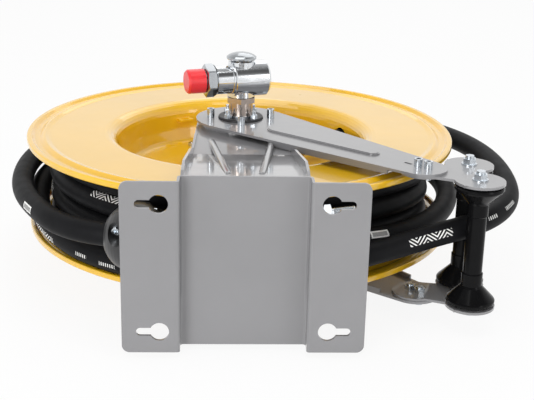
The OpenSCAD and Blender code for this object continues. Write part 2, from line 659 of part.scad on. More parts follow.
// outer layer: level turns that step down one lane within the same arc
step_a0 = 296;
step_w = 84;
wind_rings = 24;                   // to a turn
wind_n = lanes * wind_rings - 6;
function ease(t) = t <= 0 ? 0 : t >= 1 ? 1 : t * t * (3 - 2 * t);
function lane_at(u) = let (n = floor(u / 360)) n + ease((u - 360 * n) / step_w);
function wind_p(i) =
  let (u = step_w + i * 360 / wind_rings, a = step_a0 + u)
  [layer_r * cos(a), layer_r * sin(a), (lanes - 1) * lay / 2 - (lane_at(u) - 1) * lay];
wind = [for (i = [0:wind_n]) wind_p(i)];
// a tube round path p: a ring of n corners at each point, square to the path
function tan_at(p, i) = unit(p[min(i + 1, len(p) - 1)] - p[max(i - 1, 0)]);
function ring_at(c, t, r, n) =
  let (s = unit(cross([0, 0, 1], t)), w = cross(t, s))
  [for (k = [0:n - 1]) let (a = 360 * (k + 0.5) / n) c + r * (cos(a) * s + sin(a) * w)];
function tube_pts(p, r, n) = [for (i = [0:len(p) - 1]) each ring_at(p[i], tan_at(p, i), r, n)];
function wall_faces(i, n) = [for (k = [0:n - 1]) let (j = (k + 1) % n)
  each [[i * n + k, i * n + j, (i + 1) * n + j], [i * n + k, (i + 1) * n + j, (i + 1) * n + k]]];
function tube_faces(m, n) = concat(
  [for (i = [0:m - 2]) each wall_faces(i, n)],
  [for (k = [1:n - 2]) [0, k + 1, k]],
  [for (k = [1:n - 2]) [(m - 1) * n, (m - 1) * n + k, (m - 1) * n + k + 1]]
);
module tube(p, r, n) polyhedron(tube_pts(p, r, n), tube_faces(len(p), n), convexity = 20);
half_turn = wind_rings / 2;
self_gap = min([
  for (i = [0:wind_n - half_turn]) for (j = [i + half_turn:wind_n]) norm(wind[i] - wind[j])
]) - hose_d;
echo(least_self_gap_of_winding = self_gap);
module hose_winding() color("black") at_drum() tube(wind, hose_d / 2, 6);

// --------------------------------------------------------------- free hose
// The hose is a smooth curve steered by these points: once round the winding,
// out between the rollers, once round outside the first turn, through the
// ball stop and back behind the web.
inner_turn = [
  [81, 76, 3], [127, 95.5, -3], [169, 121.5, -8], [206, 154, -10.5], [236, 193.5, -11], [258.5, 238, -11],
  [271.5, 284, -11], [275.5, 332, -11], [270, 379.5, -10.5], [255.5, 425, -10], [233, 467, -10],
  [204, 504, -10], [169, 535.5, -10], [129.5, 560.5, -10], [87, 578.5, -10], [41.5, 589, -10],
  [-5, 591.5, -10], [-51, 586.5, -10], [-95, 573.5, -10], [-136, 553, -10], [-173.5, 526, -10],
  [-205.5, 493, -11.5], [-231, 455, -12.5], [-249.5, 413, -13], [-260.5, 368.5, -14], [-264, 323, -16],
  [-259.5, 277, -21], [-246.5, 232.5, -27], [-226, 191, -32], [-199, 153, -35], [-167, 121, -35],
  [-130.5, 95.5, -35], [-90.5, 75, -34.5], [-46, 58.5, -33.5], [-1, 49.5, -30.5], [45, 51.5, -25.5],
  [90, 58, -18.5], [135, 67, -10], [180, 79, -1.5], [222, 93.5, 6]
];
outer_turn = [
  [331.5, 249, 28], [331, 297, 29], [325, 344, 29], [313, 390, 28.5], [295, 435, 27], [271, 477, 25],
  [240, 514, 23], [205, 545, 21], [164, 570, 20], [120, 588, 19], [74, 600, 18], [26, 606.5, 17],
  [-22, 606.5, 16], [-69, 599, 15], [-115, 584, 14], [-157, 561, 13], [-194, 531, 12], [-226, 495, 11],
  [-252, 454, 10.5], [-270, 409, 10], [-279.5, 362, 9.5], [-281, 314, 9.5], [-277, 267, 9.5],
  [-267, 220, 10], [-250.5, 176, 11.5]
];
tail = [[-41, 46.8, 14.5], [-3, 45.4, 22.5], [33, 46, 31], [58.5, 46.4, 36.6], [84, 44.8, 40]];
// tight bends, each about its own centre, from one height to another
bend_r = 116;
function turn(o, a0, a1, z0, z1, n) = [
  for (i = [0:n]) let (a = a0 + (a1 - a0) * i / n)
    [o[0] + bend_r * cos(a), o[1] + bend_r * sin(a), z0 + (z1 - z0) * i / n]
];
roller_turn = turn([213.5, 211], -71, -4, 10.5, 24, 3);
// a straight run through the ball stop, and the bend that leads into it
ball_c = [-115, 59.5, 13];
ball_a = -14;                      // direction of the run
ball_t = unit([cos(ball_a), sin(ball_a), 0.01]);
ball_run = [for (i = [-2:2]) ball_c + ball_t * i * 19];
run_in = ball_run[0];
ball_o = [run_in[0] - bend_r * sin(ball_a), run_in[1] + bend_r * cos(ball_a)];
ball_bend = turn(ball_o, ball_a - 142, ball_a - 90, 12.5, run_in[2], 3);
ball_turn = [for (i = [0:2]) ball_bend[i]];
steer = concat(inner_turn, roller_turn, outer_turn, ball_turn, ball_run, tail);
// the curve between points b and c, with its neighbours a and d
function blend(a, b, c, d, t) = (
  pow(1 - t, 3) * a + (3 * t * t * t - 6 * t * t + 4) * b
  + (-3 * t * t * t + 3 * t * t + 3 * t + 1) * c + t * t * t * d
) / 6;
function pick(p, i) =
  let (n = len(p) - 1)
  i < 0 ? 2 * p[0] - p[1] : i > n ? 2 * p[n] - p[n - 1] : p[i];
function bend_at(p, i) =
  i == 0 || i >= len(p) - 1 ? 0 : acos(min(1, unit(p[i] - p[i - 1]) * unit(p[i + 1] - p[i])));
function rings_in(p, i) = max(bend_at(p, i), bend_at(p, i + 1)) > 20 ? 2 : 1;
function curve(p) = concat(
  [for (i = [0:len(p) - 2]) let (n = rings_in(p, i)) for (k = [0:n - 1])
    blend(pick(p, i - 1), p[i], p[i + 1], pick(p, i + 2), k / n)],
  [p[len(p) - 1]]
);
free_line = curve(steer);
module hose_free() color("black") tube(free_line, hose_d / 2, 10);

// ball stop: two halves clamped round the hose by four bolts in deep recesses
ball_bore = hose_d / 2 + 0.6;
ball_roll = 23;                    // turn of the split about the hose
stop_bolt_x = 17;
stop_bolt_z = 24;
seat_y = 13;                       // seat of a bolt's head from the split
recess_r = 9;
module at_ball() translate(ball_c) rotate([0, 0, ball_a]) rotate([0, -asin(ball_t[2]), 0])
  rotate([ball_roll, 0, 0]) children();
module at_stop_bolts() for (x = [-1, 1]) for (z = [-1, 1])
  translate([x * stop_bolt_x, 0, z * stop_bolt_z]) rotate([90, 0, 0]) children();
module ball_half(s) at_ball() difference() {
  rotate([0, 90, 0]) rotate_extrude() polygon(concat(
    [[ball_bore, -ball_l / 2]],
    [for (i = [-8:8]) let (x = i * ball_l / 16) [sqrt(ball_d * ball_d / 4 - x * x), x]],
    [[ball_bore, ball_l / 2]]
  ));
  translate([-ball_l, s > 0 ? -0.25 : 0.25 - ball_d, -ball_d]) cube([2 * ball_l, ball_d, 2 * ball_d]);
  at_stop_bolts() {
    translate([0, 0, -ball_d]) rod(m6 + play, 2 * ball_d);
    translate([0, 0, s > 0 ? seat_y : -seat_y - ball_d]) rod(recess_r, ball_d);
  }
}
module hose_stop_front() color("black") ball_half(1);
module hose_stop_rear() color("black") ball_half(-1);
module stop_bolts() color("lightgray") at_ball() at_stop_bolts() {
  translate([0, 0, -seat_y - 2]) rod(m6, 2 * seat_y + 2.5);
  translate([0, 0, seat_y]) difference() {
    rod(5, 6);
    translate([0, 0, 2]) hexhead(5, 5);
  }
  translate([0, 0, -seat_y - 5]) hexhead(10, 5);
}
// crimped end with its male thread
tip = tail[len(tail) - 1];
tip_t = unit(tip - tail[len(tail) - 2]);
tip_thread_l = 23;
module at_tip() translate(tip) rotate([0, 0, atan2(tip_t[1], tip_t[0])]) rotate([0, 90 - asin(tip_t[2]), 0])
  children();
module hose_ferrule() color("silver") at_tip() difference() {
  translate([0, 0, -24]) crimp(27, [3, 11, 19]);
  translate([0, 0, -30]) cylinder(d = hose_d + 1.4, h = 30.2);
  translate([0, 0, -1]) cylinder(r = 10, h = 6);
}
module hose_nipple() color("lightgray") at_tip() difference() {
  union() {
    translate([0, 0, 0.2]) cylinder(r = 9.9, h = 4);
    translate([0, 0, 3]) hexhead(30, 9);
    translate([0, 0, 12]) cylinder(d = thread_d - 2.4, h = 2);
    translate([0, 0, 14]) cylinder(d = thread_d, h = tip_thread_l - 1);
    translate([0, 0, 13 + tip_thread_l]) cylinder(d1 = thread_d, d2 = thread_d - 2, h = 1);
  }
  translate([0, 0, -1]) cylinder(r = 8, h = tip_thread_l + 20);
}

// --------------------------------------------------------------- swivel
body_back = 34;                    // closed end of the body, from the shaft
body_step = 13;                    // where the body meets its neck
neck_end = 36;                     // where the neck meets the adapter
nut_z = neck_end + 1.5;
nut_h = 12;
cap_z = nut_z + nut_h + 1.5;
inlet_r = 9.5;
module at_inlet() at_drum() translate([0, 0, swivel_z]) rotate([0, 0, inlet_angle]) rotate([0, -90, 0])
  children();
module swivel_body() color("lightgray") difference() {
  b = body_d / 2;
  n = body_neck_d / 2;
  union() {
    at_inlet() rotate_extrude() polygon([
      [0, -body_back], [b - 3, -body_back], [b, 3 - body_back], [b, body_step - 1], [b - 1, body_step],
      [n + 1.2, body_step], [n + 1.2, body_step + 2.2], [n, body_step + 2.8], [n, neck_end], [0, neck_end]
    ]);
    at_drum() translate([0, 0, body_z0 + 0.2]) cylinder(r = spindle_d / 2 + 6, h = body_d + 0.1);
  }
  at_drum() translate([0, 0, body_z0 - 5]) cylinder(r = spindle_d / 2 + run_fit, h = body_d + 10);
  at_inlet() translate([0, 0, 2]) cylinder(r = inlet_r, h = 40);
}
module inlet_adapter() color("lightgray") at_inlet() difference() {
  union() {
    translate([0, 0, neck_end + 0.01]) cylinder(d1 = 38, d2 = 40, h = 1.5);
    intersection() {
      translate([0, 0, nut_z]) rotate(12) hexhead(38, nut_h);
      translate([0, 0, nut_z]) cylinder(d = 43, h = nut_h);
    }
    translate([0, 0, nut_z + nut_h - 0.5]) cylinder(d = thread_d, h = 18);
  }
  cylinder(r = inlet_r, h = 90);
}
module inlet_cap() color("red") at_inlet() translate([0, 0, cap_z]) difference() {
  union() {
    cylinder(d = cap_d, h = cap_l - 2.5);
    translate([0, 0, cap_l - 2.5]) cylinder(d1 = cap_d, d2 = cap_d - 4, h = 2.5);
  }
  translate([0, 0, -1]) cylinder(d = thread_d + 2 * run_fit, h = cap_l - 3);
}
// low dome with a flared skirt, on the spindle's end
dome_r = 19;
module at_spindle_end() at_drum() translate([0, 0, spindle_z1]) children();
module swivel_dome() color("lightgray") at_spindle_end() rotate_extrude() polygon(concat(
  [[0, 0], [14, 0], [14.5, 1.6], [dome_r - 0.4, 2.4], [dome_r + 0.2, 3.2], [dome_r + 0.2, 5.4]],
  [for (a = [20:14:90]) [dome_r * cos(a) / cos(20), 5.4 + (sin(a) - sin(20)) * 8.6]]
));
module swivel_seals() color("black") at_drum() for (z = seal_z) translate([0, 0, z])
  rotate_extrude() translate([spindle_d / 2 - 1.3, 0]) circle(r = 1.25, $fn = 24);

wall_bracket();
guide_arm_top();
guide_arm_bottom();
arm_bolts_top();
arm_bolts_bottom();
bearing_top();
bearing_bottom();
bearing_bolts_top();
bearing_bolts_bottom();
yoke_top();
yoke_bottom();
yoke_bolts_top();
yoke_bolts_bottom();
roller_pin_front();
roller_pin_rear();
spring_arbor();
pawl_pin();
hose_free();
hose_stop_front();
hose_stop_rear();
stop_bolts();
hose_ferrule();
hose_nipple();
disc_top();
disc_bottom();
drum_shaft();
hub_ring();
hub_bolts();
spring_case();
case_bolts();
power_spring();
ratchet_wheel();
shaft_washers();
drum_outlet();
outlet_ferrule();
hose_lead();
hose_core();
hose_winding();
swivel_dome();
swivel_seals();
swivel_body();
inlet_adapter();
inlet_cap();
roller_front_sleeve();
roller_front_cone_top();
roller_front_cone_bottom();
roller_rear_sleeve();
roller_rear_cone_top();
roller_rear_cone_bottom();
latch_pawl();
pawl_spring();
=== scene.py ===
"""Looks of the spring-rewind hose reel: materials, hose, small details, light and camera."""

import json
import math

import bpy
from mathutils import Matrix, Vector


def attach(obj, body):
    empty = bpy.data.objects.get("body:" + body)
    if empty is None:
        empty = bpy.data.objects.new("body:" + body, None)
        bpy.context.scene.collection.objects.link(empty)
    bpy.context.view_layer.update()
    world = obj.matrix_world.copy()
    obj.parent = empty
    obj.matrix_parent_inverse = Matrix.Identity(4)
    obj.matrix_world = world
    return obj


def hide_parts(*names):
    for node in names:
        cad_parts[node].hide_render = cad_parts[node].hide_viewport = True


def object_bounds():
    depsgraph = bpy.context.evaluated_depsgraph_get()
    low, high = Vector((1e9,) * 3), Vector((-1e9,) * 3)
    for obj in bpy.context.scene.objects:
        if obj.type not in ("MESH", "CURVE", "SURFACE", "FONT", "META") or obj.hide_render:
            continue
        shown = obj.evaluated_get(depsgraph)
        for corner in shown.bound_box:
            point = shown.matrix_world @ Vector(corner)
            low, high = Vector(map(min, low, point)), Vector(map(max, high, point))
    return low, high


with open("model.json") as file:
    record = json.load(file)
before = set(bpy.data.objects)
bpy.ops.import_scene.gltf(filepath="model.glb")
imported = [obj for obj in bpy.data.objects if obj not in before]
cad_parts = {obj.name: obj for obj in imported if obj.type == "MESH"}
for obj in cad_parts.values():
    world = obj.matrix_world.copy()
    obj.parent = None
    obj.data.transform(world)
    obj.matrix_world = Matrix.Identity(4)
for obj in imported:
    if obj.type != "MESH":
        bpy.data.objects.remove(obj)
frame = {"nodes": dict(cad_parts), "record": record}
CAD_BOX = [list(corner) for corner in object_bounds()]
NODES = frame["nodes"]
MM = 0.001

# The part's own places and sizes, in millimetres
REACH = 327.0  # wall face to the reel's shaft
DRUM_OFF = 5.0  # drum's mid-plane over the bracket's mid-plane
HOSE_D = 27.0
LAYER_R = 234.0  # centre line of the outer wound layer
LAYER_STEP = 27.5  # from one wound layer to the next
LAY = 27.7  # from one lane of a layer to the next
LANES = 4
HUB_H = 76.0  # outer face of the hub pads
ARM_Z = 79.0  # outer face of the guide arms
SHEET_T = 3.0
THREAD_D = 26.4  # 3/4 inch pipe thread
THREAD_DEPTH = 1.16
THREAD_PITCH = 1.81
INLET_ANGLE = math.radians(18)  # the inlet's turn towards the wall
INLET_AXIS = Vector((-math.cos(INLET_ANGLE), -math.sin(INLET_ANGLE), 0.0))
INLET_H = 126.0  # the inlet's axis over the drum's mid-plane
INLET_AT = Vector((0.0, REACH, DRUM_OFF + INLET_H))
HUB = Vector((0.0, REACH, 0.0))


# ------------------------------------------------------------------ materials
MIX_A, MIX_B, MIX_RESULT = 6, 7, 2  # the Mix node's sockets for colours


def colour_ramp(tree, fac, stops):
    """Colours over fac, from stops that are each a place and a colour."""
    made = tree.nodes.new("ShaderNodeValToRGB")
    band = made.color_ramp
    while len(band.elements) < len(stops):
        band.elements.new(0.5)
    for element, (place, colour) in zip(band.elements, stops):
        element.position = place
        element.color = (*colour, 1)
    tree.links.new(fac, made.inputs["Fac"])
    return made.outputs["Color"]


def mix_colours(tree, fac, a, b):
    """a where fac is 0 and b where it is 1; either is an output or a plain colour."""
    made = tree.nodes.new("ShaderNodeMix")
    made.data_type = "RGBA"
    tree.links.new(fac, made.inputs["Factor"])
    for place, value in ((made.inputs[MIX_A], a), (made.inputs[MIX_B], b)):
        if isinstance(value, tuple):
            place.default_value = (*value, 1)
        else:
            tree.links.new(value, place)
    return made.outputs[MIX_RESULT]


class Shader:
    """A small helper that builds one material's nodes."""

    def __init__(self, name):
        self.material = bpy.data.materials.new(name)
        self.material.use_nodes = True
        self.tree = self.material.node_tree
        self.surface = self.tree.nodes["Principled BSDF"]
        self.coords = self.tree.nodes.new("ShaderNodeTexCoord").outputs["Object"]

    def set(self, **values):
        for name, value in values.items():
            self.surface.inputs[name.replace("_", " ")].default_value = value

    def node(self, kind, **settings):
        """A node whose settings are its own properties or, failing that, its inputs' values."""
        made = self.tree.nodes.new(kind)
        for name, value in settings.items():
            if hasattr(made, name):
                setattr(made, name, value)
            else:
                made.inputs[name.replace("_", " ")].default_value = value
        return made

    def link(self, output, target):
        self.tree.links.new(output, target)

    def noise(self, scale, detail=3.0, rough=0.5, coords=None):
        made = self.node("ShaderNodeTexNoise", Scale=scale, Detail=detail, Roughness=rough)
        self.link(coords or self.coords, made.inputs["Vector"])
        return made.outputs["Fac"]

    def stretched(self, scale, coords=None):
        made = self.node("ShaderNodeMapping")
        made.inputs["Scale"].default_value = scale
        self.link(coords or self.coords, made.inputs["Vector"])
        return made.outputs["Vector"]

    def cloud(self, colour, scale, detail, low, high):
        """Soft clouds between two shades of a colour: low and high are each a place and a factor."""
        stops = [(place, shade(colour, factor)) for place, factor in (low, high)]
        self.colour(colour_ramp(self.tree, self.noise(scale, detail), stops))

    def span(self, fac, low, high):
        made = self.node("ShaderNodeMapRange")
        made.inputs["To Min"].default_value = low
        made.inputs["To Max"].default_value = high
        self.link(fac, made.inputs["Value"])
        return made.outputs["Result"]

    def math(self, operation, a, b=None):
        made = self.node("ShaderNodeMath", operation=operation)
        for place, value in zip(made.inputs, (a, b)):
            if isinstance(value, (int, float)):
                place.default_value = value
            elif value is not None:
                self.link(value, place)
        return made.outputs["Value"]

    def both(self, a, b):
        return self.math("MULTIPLY", a, b)

    def within(self, value, low, high):
        """1 between low and high, and 0 elsewhere."""
        over = self.math("GREATER_THAN", value, low)
        return self.both(over, self.math("LESS_THAN", value, high))

    def colour(self, output):
        self.link(output, self.surface.inputs["Base Color"])

    def roughness(self, output):
        self.link(output, self.surface.inputs["Roughness"])

    def bump(self, height, strength, distance):
        """Adds a bump on top of those that are there."""
        made = self.node("ShaderNodeBump")
        made.inputs["Strength"].default_value = strength
        made.inputs["Distance"].default_value = distance
        earlier = self.surface.inputs["Normal"]
        if earlier.is_linked:
            self.link(earlier.links[0].from_socket, made.inputs["Normal"])
        self.link(height, made.inputs["Height"])
        self.link(made.outputs["Normal"], self.surface.inputs["Normal"])


def shade(colour, factor):
    return tuple(min(1.0, c * factor) for c in colour)


FINE = 0.00008  # metres, height of tool marks and of a moulded skin
PEEL = 0.25  # strength of the enamel's orange peel


def painted(name, colour, rough, coat=1.0, coat_rough=0.06):
    """Sprayed enamel: faint orange peel, thin places and a clear gloss."""
    s = Shader(name)
    s.cloud(colour, 9.0, 4.0, (0.3, 0.95), (0.7, 1.04))
    s.set(Coat_Weight=coat, Coat_Roughness=coat_rough, Coat_IOR=1.6)
    s.roughness(s.span(s.noise(60.0), rough * 0.85, rough * 1.15))
    s.bump(s.noise(420.0, detail=1.5), PEEL, 0.00012)
    s.bump(s.noise(7.0, detail=1.0), PEEL * 0.4, 0.0012)
    return s.material


def plated(name, colour, rough, grain=(1, 1, 1), strength=0.15):
    """Plated metal with fine tool marks along one direction."""
    s = Shader(name)
    s.set(Metallic=1.0)
    s.cloud(colour, 45.0, 4.0, (0.25, 0.88), (0.75, 1.06))
    lines = s.noise(300.0, coords=s.stretched(grain), rough=0.6)
    s.roughness(s.span(lines, rough * 0.7, rough * 1.4))
    s.bump(lines, strength, FINE)
    return s.material


def moulded(name, colour, rough, coat=0.0, speck=0.2, shine=0.5):
    """Moulded plastic or rubber with a fine, even skin."""
    s = Shader(name)
    s.cloud(colour, 30.0, 4.0, (0.3, 0.85), (0.75, 1.2))
    s.set(Coat_Weight=coat, Coat_Roughness=0.12, Specular_IOR_Level=shine)
    s.roughness(s.span(s.noise(120.0), rough * 0.8, rough * 1.2))
    s.bump(s.noise(900.0, detail=2.0), speck, FINE)
    return s.material


GREY = (0.236, 0.234, 0.242)
YELLOW = (0.93, 0.54, 0.008)
RED = (0.86, 0.035, 0.045)
HOSE_BLACK = (0.011, 0.0112, 0.0125)
SOFT_BLACK = (0.02, 0.02, 0.021)
ROLLER_BLACK = (0.006, 0.006, 0.0065)
PRINT_WHITE = (0.9, 0.9, 0.88)
SHAFT_GRAIN = (0.2, 0.2, 6)  # tool marks run round the shaft

grey_paint = painted("grey_paint", GREY, 0.32, coat=0.95)
yellow_paint = painted("yellow_paint", YELLOW, 0.30, coat_rough=0.05)
black_paint = painted("black_paint", SOFT_BLACK, 0.4, coat=0.5)
black_nylon = moulded("black_nylon", (0.02, 0.02, 0.022), 0.45)
roller_plastic = moulded("roller_plastic", ROLLER_BLACK, 0.16, speck=0.05, shine=0.1)
zinc_steel = plated("zinc_steel", (0.62, 0.66, 0.70), 0.24)
spring_steel = plated("spring_steel", (0.30, 0.30, 0.32), 0.35)
bright_steel = plated("bright_steel", (0.78, 0.80, 0.82), 0.12, strength=0.08)
# A copy of the same plating as bright_steel with its colour darkened: painted shade, for the dome, the
# nipple and the adapter.
shaded_plated_steel = plated("shaded_plated_steel", (0.46, 0.48, 0.50), 0.16, strength=0.08)
shaft_steel = plated("shaft_steel", (0.55, 0.47, 0.42), 0.2, grain=SHAFT_GRAIN)
seal_rubber = moulded("seal_rubber", (0.02, 0.02, 0.02), 0.6)


def red_cap_material():
    """Soft red plastic that lets a little light in."""
    s = Shader("red_plastic")
    s.cloud(RED, 40.0, 3.0, (0.3, 0.94), (0.7, 1.05))
    s.set(Roughness=0.34, Subsurface_Weight=0.12, Subsurface_Scale=0.004, Coat_Weight=0.25)
    s.set(Subsurface_Radius=(1.0, 0.25, 0.2))
    s.bump(s.noise(160.0, detail=2.0), 0.15, 0.0002)
    return s.material


# The printed marks' sizes, in metres. Each kind of mark starts at its own whole metre of the map.
HATCH, PATCH, TICKS = 0, 1, 2
HATCH_L = 0.054
HATCH_HALF_W = 0.0045
ZIGZAG_FOLD = 0.0125  # along the hose, from one fold to the next
ZIGZAG_SHIFT = 0.0156
ZIGZAG_SLOPE = 0.95
ZIGZAG_PITCH = 0.005  # across, from one line to the next
ZIGZAG_INK = 0.42  # share of the pitch that is printed
PATCH_L = 0.026
PATCH_HALF_W = 0.0044
PATCH_EDGE_L = 0.0022  # pale edge round the patch's darker bar
BAR_HALF_W = 0.0026
BAR_FADE = 0.6
TICKS_L = 0.022
TICKS_HALF_W = 0.0022
TICK_PITCH = 0.0031
TICK_INK = 0.45


def zigzag_mark(s, along, across, size):
    """Lines that slant one way and back."""
    folded = s.math("PINGPONG", s.math("ADD", along, ZIGZAG_SHIFT), ZIGZAG_FOLD)
    shifted = s.math("ADD", across, s.both(folded, ZIGZAG_SLOPE))
    line = s.math("FRACT", s.math("DIVIDE", shifted, ZIGZAG_PITCH))
    room = s.both(s.within(along, HATCH, HATCH_L), s.math("LESS_THAN", size, HATCH_HALF_W))
    return s.both(room, s.math("LESS_THAN", line, ZIGZAG_INK))


def patch_mark(s, along, size):
    """A plain patch with a darker bar in it."""
    end = PATCH + PATCH_L
    patch = s.both(s.within(along, PATCH, end), s.math("LESS_THAN", size, PATCH_HALF_W))
    inside = s.within(along, PATCH + PATCH_EDGE_L, end - PATCH_EDGE_L)
    bar = s.both(inside, s.math("LESS_THAN", size, BAR_HALF_W))
    return s.both(patch, s.math("SUBTRACT", 1.0, s.both(bar, BAR_FADE)))


def tick_marks(s, along, size):
    """A row of short ticks."""
    tick = s.math("FRACT", s.math("DIVIDE", along, TICK_PITCH))
    room = s.within(along, TICKS, TICKS + TICKS_L)
    row = s.both(room, s.math("LESS_THAN", size, TICKS_HALF_W))
    return s.both(row, s.math("LESS_THAN", tick, TICK_INK))


def printed_marks(s):
    """Pale zigzag lines, plain patches and rows of ticks, where the "print" map puts them."""
    axes = s.node("ShaderNodeSeparateXYZ")
    s.link(s.node("ShaderNodeUVMap", uv_map="print").outputs["UV"], axes.inputs["Vector"])
    along, across = axes.outputs["X"], axes.outputs["Y"]
    size = s.math("ABSOLUTE", across)
    plain = s.math("ADD", patch_mark(s, along, size), tick_marks(s, along, size))
    marks = s.math("ADD", zigzag_mark(s, along, across, size), plain)
    wear = s.span(s.noise(500.0, detail=2.0, rough=0.7), 0.75, 1.15)
    return s.both(marks, wear)


CLOTH = (900, 1500, 1)  # scales of the cloth's noise, round the hose and along it
WRAP = (40, 2.2, 1)  # scales of the wrap lines' wave


def hose_material():
    """Wrapped rubber cover: cloth print and wrap lines, with a dusty bloom and pale marks."""
    s = Shader("hose_rubber")
    uv = s.node("ShaderNodeUVMap", uv_map="along").outputs["UV"]
    bloom = s.noise(22.0, detail=5.0, rough=0.6)
    shades = [(0.3, shade(HOSE_BLACK, 0.75)), (0.62, HOSE_BLACK), (0.85, shade(HOSE_BLACK, 1.7))]
    dark = colour_ramp(s.tree, bloom, shades)
    s.colour(mix_colours(s.tree, printed_marks(s), dark, PRINT_WHITE))
    s.roughness(s.span(s.noise(70.0), 0.4, 0.6))
    s.set(IOR=1.18)
    cloth = s.noise(1.0, detail=2.0, coords=s.stretched(CLOTH, uv))
    wrap = s.node("ShaderNodeTexWave", wave_type="BANDS", bands_direction="X", Scale=1.0)
    s.link(s.stretched(WRAP, uv), wrap.inputs["Vector"])
    s.bump(cloth, 0.22, 0.00012)
    s.bump(wrap.outputs["Fac"], 0.12, 0.0003)
    return s.material


red_plastic = red_cap_material()
hose_rubber = hose_material()
stop_rubber = moulded("stop_rubber", SOFT_BLACK, 0.42, coat=0.15)

BY_SLOT = {
    "grey_paint": grey_paint,
    "yellow_paint": yellow_paint,
    "black_paint": black_paint,
    "black_nylon": black_nylon,
    "zinc_steel": zinc_steel,
    "spring_steel": spring_steel,
    "hose_rubber": stop_rubber,
    "stop_rubber": stop_rubber,
    "plated_steel": bright_steel,
    "seal_rubber": seal_rubber,
    "red_plastic": red_plastic,
    "roller_plastic": roller_plastic,
}
for subpart in frame["record"]["subparts"]:
    node = NODES[subpart["node"]]
    look = BY_SLOT[subpart["material_slot"]]
    if not node.material_slots:
        node.data.materials.append(look)
    for place in node.material_slots:
        place.material = look
# The swivel's dome takes the plating whose colour is darkened as painted shade.
for name, look in (("drum_shaft", shaft_steel), ("swivel_dome", shaded_plated_steel)):
    for place in NODES[name].material_slots:
        place.material = look


# ------------------------------------------------------------------ mesh tools
def mesh_object(name, verts, faces, smooth=True):
    mesh = bpy.data.meshes.new(name)
    mesh.from_pydata([tuple(v) for v in verts], [], faces)
    mesh.validate()
    if smooth:
        mesh.shade_smooth()
    piece = bpy.data.objects.new(name, mesh)
    bpy.context.scene.collection.objects.link(piece)
    return piece


def finish_piece(piece, look, slot, body, *nodes):
    """Gives a piece its look and body, and hides the nodes that it replaces."""
    piece.data.materials.append(look)
    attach(piece, body)
    if nodes:
        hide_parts(*nodes)


class Shape:
    """Verts and faces of one piece, gathered from rings of equal length."""

    def __init__(self):
        self.verts = []
        self.faces = []

    def rings(self, rings, closed=False):
        """Joins each ring to the next. An open run gets a flat face at both ends."""
        first = len(self.verts)
        n = len(rings[0])
        for ring in rings:
            self.verts += ring
        count = len(rings)
        for i in range(count if closed else count - 1):
            low = first + i * n
            high = first + (i + 1) % count * n
            for k in range(n):
                j = (k + 1) % n
                self.faces.append((low + k, high + k, high + j, low + j))
        if not closed:
            last = first + (count - 1) * n
            self.faces.append(tuple(first + k for k in range(n)))
            self.faces.append(tuple(last + k for k in reversed(range(n))))
        return self

    def lathe(self, outline, axis, steps):
        """A closed outline of radius and height pairs, turned round an axis.

        A pair may also be a function of the angle.
        """
        turned = []
        for pair in outline:
            ring = []
            for k in range(steps):
                a = 2 * math.pi * k / steps
                radius, height = pair(a) if callable(pair) else pair
                ring.append(axis @ Vector((radius * math.cos(a), radius * math.sin(a), height)))
            turned.append(ring)
        return self.rings(turned, closed=True)

    def piece(self, name, sharp=35):
        made = mesh_object(name, [v * MM for v in self.verts], self.faces)
        made.data.set_sharp_from_angle(angle=math.radians(sharp))
        return made


def axis_at(place, direction):
    """The matrix that puts +Z along a direction, from a place."""
    turn = Vector(direction).to_track_quat("Z", "Y").to_matrix().to_4x4()
    return Matrix.Translation(place) @ turn


def thread_outline(crest, depth, pitch, z0, z1, per_turn=6):
    """Outline points of a screw thread, as functions of the angle, tapered out at both ends."""
    count = max(2, round((z1 - z0) / pitch * per_turn))

    def at(z):
        fade = min(1.0, (z - z0) / pitch, (z1 - z) / pitch)

        def pair(a):
            wave = abs(2 * ((z / pitch - a / (2 * math.pi)) % 1) - 1)
            return crest - depth + depth * wave * max(0.0, fade), z

        return pair

    return [at(z0 + (z1 - z0) * i / count) for i in range(count + 1)]


CHAMFER_START = 0.98  # chamfer's inner radius, as a share of half the hexagon's width
CHAMFER_SLOPE = 0.5


def hex_outline(flats, z0, z1, turn=0.0):
    """Outline points of a hexagon's outside whose corners are chamfered at both ends."""
    face_r = flats / 2 * CHAMFER_START

    def corner(a):
        return flats / 2 / math.cos((a - turn + math.pi / 6) % (math.pi / 3) - math.pi / 6)

    def drop(a):
        return (corner(a) - face_r) * CHAMFER_SLOPE

    return [
        lambda a: (face_r, z0),
        lambda a: (corner(a), z0 + drop(a)),
        lambda a: (corner(a), z1 - drop(a)),
        lambda a: (face_r, z1),
    ]


def path_frames(points):
    """Side and up vectors at each point of a path, the side level."""
    frames = []
    for i, point in enumerate(points):
        ahead = points[min(i + 1, len(points) - 1)] - points[max(i - 1, 0)]
        ahead.normalize()
        side = Vector((0, 0, 1)).cross(ahead).normalized()
        frames.append((side, ahead.cross(side)))
    return frames


FAR = (-5.0, -5.0)  # the "print" map's value where nothing is printed
PRINT_ROOM = 0.02  # metres of the map kept round each mark


